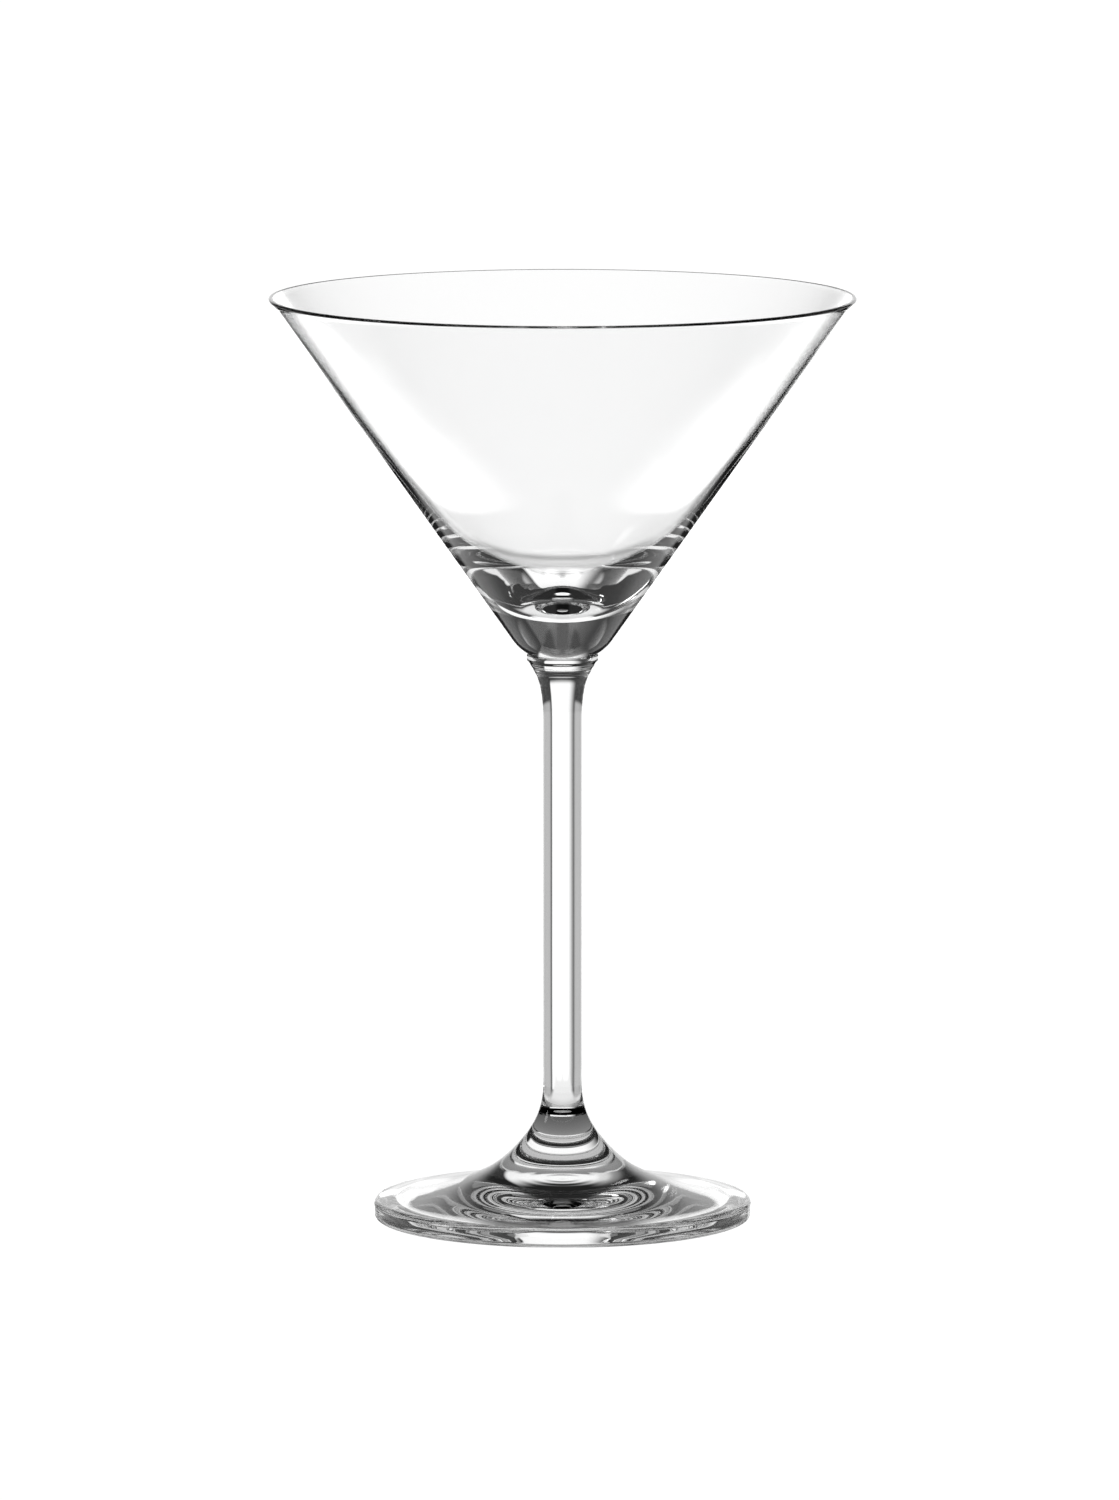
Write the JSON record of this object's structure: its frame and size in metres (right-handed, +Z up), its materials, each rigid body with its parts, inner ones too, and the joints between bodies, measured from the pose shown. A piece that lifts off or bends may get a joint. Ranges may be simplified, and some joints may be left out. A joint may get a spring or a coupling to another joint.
{
  "type": "martini glass",
  "caption": "Stemmed cocktail glass in clear crystal: a thin straight-sided conical bowl with a heavy base, a plain straight stem and a round foot.",
  "frame": {"origin": "middle of the circle the foot stands on", "axes": "+Z up the stem, the axis of revolution; X and Y are level and equivalent"},
  "size_m": [0.1164, 0.1164, 0.1844],
  "materials": {
    "bowl_glass": "blown clear crystal, fire-polished rim",
    "stem_glass": "drawn clear crystal, fire-polished",
    "foot_glass": "pressed clear crystal, fire-polished edge"
  },
  "bodies": {
    "root": {"bowl": "bowl_glass", "stem": "stem_glass", "foot": "foot_glass"}
  },
  "joints": []
}
